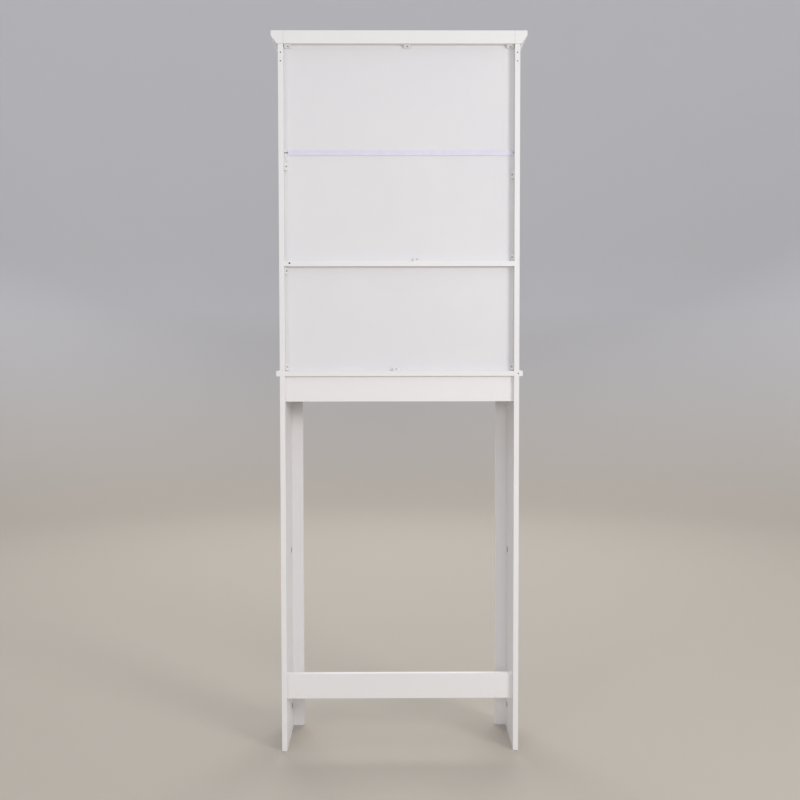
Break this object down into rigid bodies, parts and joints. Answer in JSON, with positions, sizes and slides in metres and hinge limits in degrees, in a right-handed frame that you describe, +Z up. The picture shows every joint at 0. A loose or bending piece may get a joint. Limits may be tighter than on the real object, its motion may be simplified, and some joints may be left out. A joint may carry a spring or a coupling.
{
  "type": "over the toilet storage rack",
  "caption": "Tall free-standing rack of thin white boards: open shelves with a bevelled crown, carried on two deep side legs that straddle a toilet.",
  "frame": {"origin": "on the floor, under the middle of the whole outline, crown included", "axes": "+X to the right for someone facing the open front, +Y from the open front to the wall side, +Z up"},
  "size_m": [0.597, 0.2, 1.7],
  "materials": {
    "white_board": "satin white laminate on particle board",
    "back_sheet": "satin white painted hardboard",
    "joiner_plastic": "smooth, faintly lilac",
    "clip_plastic": "moulded",
    "zinc": "zinc plated, dull",
    "nickel": "nickel plated"
  },
  "bodies": {
    "rack": {"back_panel_joiner": "joiner_plastic", "back_panel_lower": "back_sheet", "back_panel_middle": "back_sheet", "back_panel_upper": "back_sheet", "base_board": "white_board", "crown_front": "white_board", "crown_rear_rail": "white_board", "crown_side_left": "white_board", "crown_side_right": "white_board", "front_apron": "white_board", "leg_cam_left_high": "zinc", "leg_cam_left_low": "zinc", "leg_cam_left_mid": "zinc", "leg_cam_right_high": "zinc", "leg_cam_right_low": "zinc", "leg_cam_right_mid": "zinc", "leg_panel_left": "white_board", "leg_panel_right": "white_board", "leg_stile_left": "white_board", "leg_stile_right": "white_board", "lower_rear_rail": "white_board", "middle_shelf": "white_board", "nail_base_center": "zinc", "nail_base_left": "zinc", "nail_base_right": "zinc", "nail_shelf_center": "zinc", "nail_shelf_left": "zinc", "nail_shelf_right": "zinc", "nail_side_left": "zinc", "nail_side_right": "zinc", "nail_top_center": "zinc", "nail_top_left": "zinc", "nail_top_right": "zinc", "rear_apron": "white_board", "shelf_cam_left_front": "zinc", "shelf_cam_left_rear": "zinc", "shelf_cam_right_front": "zinc", "shelf_cam_right_rear": "zinc", "shelf_pin_left_front": "nickel", "shelf_pin_left_rear": "nickel", "shelf_pin_right_front": "nickel", "shelf_pin_right_rear": "nickel", "top_panel": "white_board", "upper_side_panel_left": "white_board", "upper_side_panel_right": "white_board", "wedge_base_center": "clip_plastic", "wedge_base_left": "clip_plastic", "wedge_base_right": "clip_plastic", "wedge_shelf_center": "clip_plastic", "wedge_shelf_left": "clip_plastic", "wedge_shelf_right": "clip_plastic", "wedge_side_left": "clip_plastic", "wedge_side_right": "clip_plastic", "wedge_top_center": "clip_plastic", "wedge_top_left": "clip_plastic", "wedge_top_right": "clip_plastic"},
    "adjustable_shelf": {"adjustable_shelf": "white_board"}
  },
  "joints": [
    {"name": "adjustable_shelf_pull", "type": "slide", "parent": "rack", "child": "adjustable_shelf", "axis": [0, -1, 0], "range_m": [0, 0.2]}
  ]
}
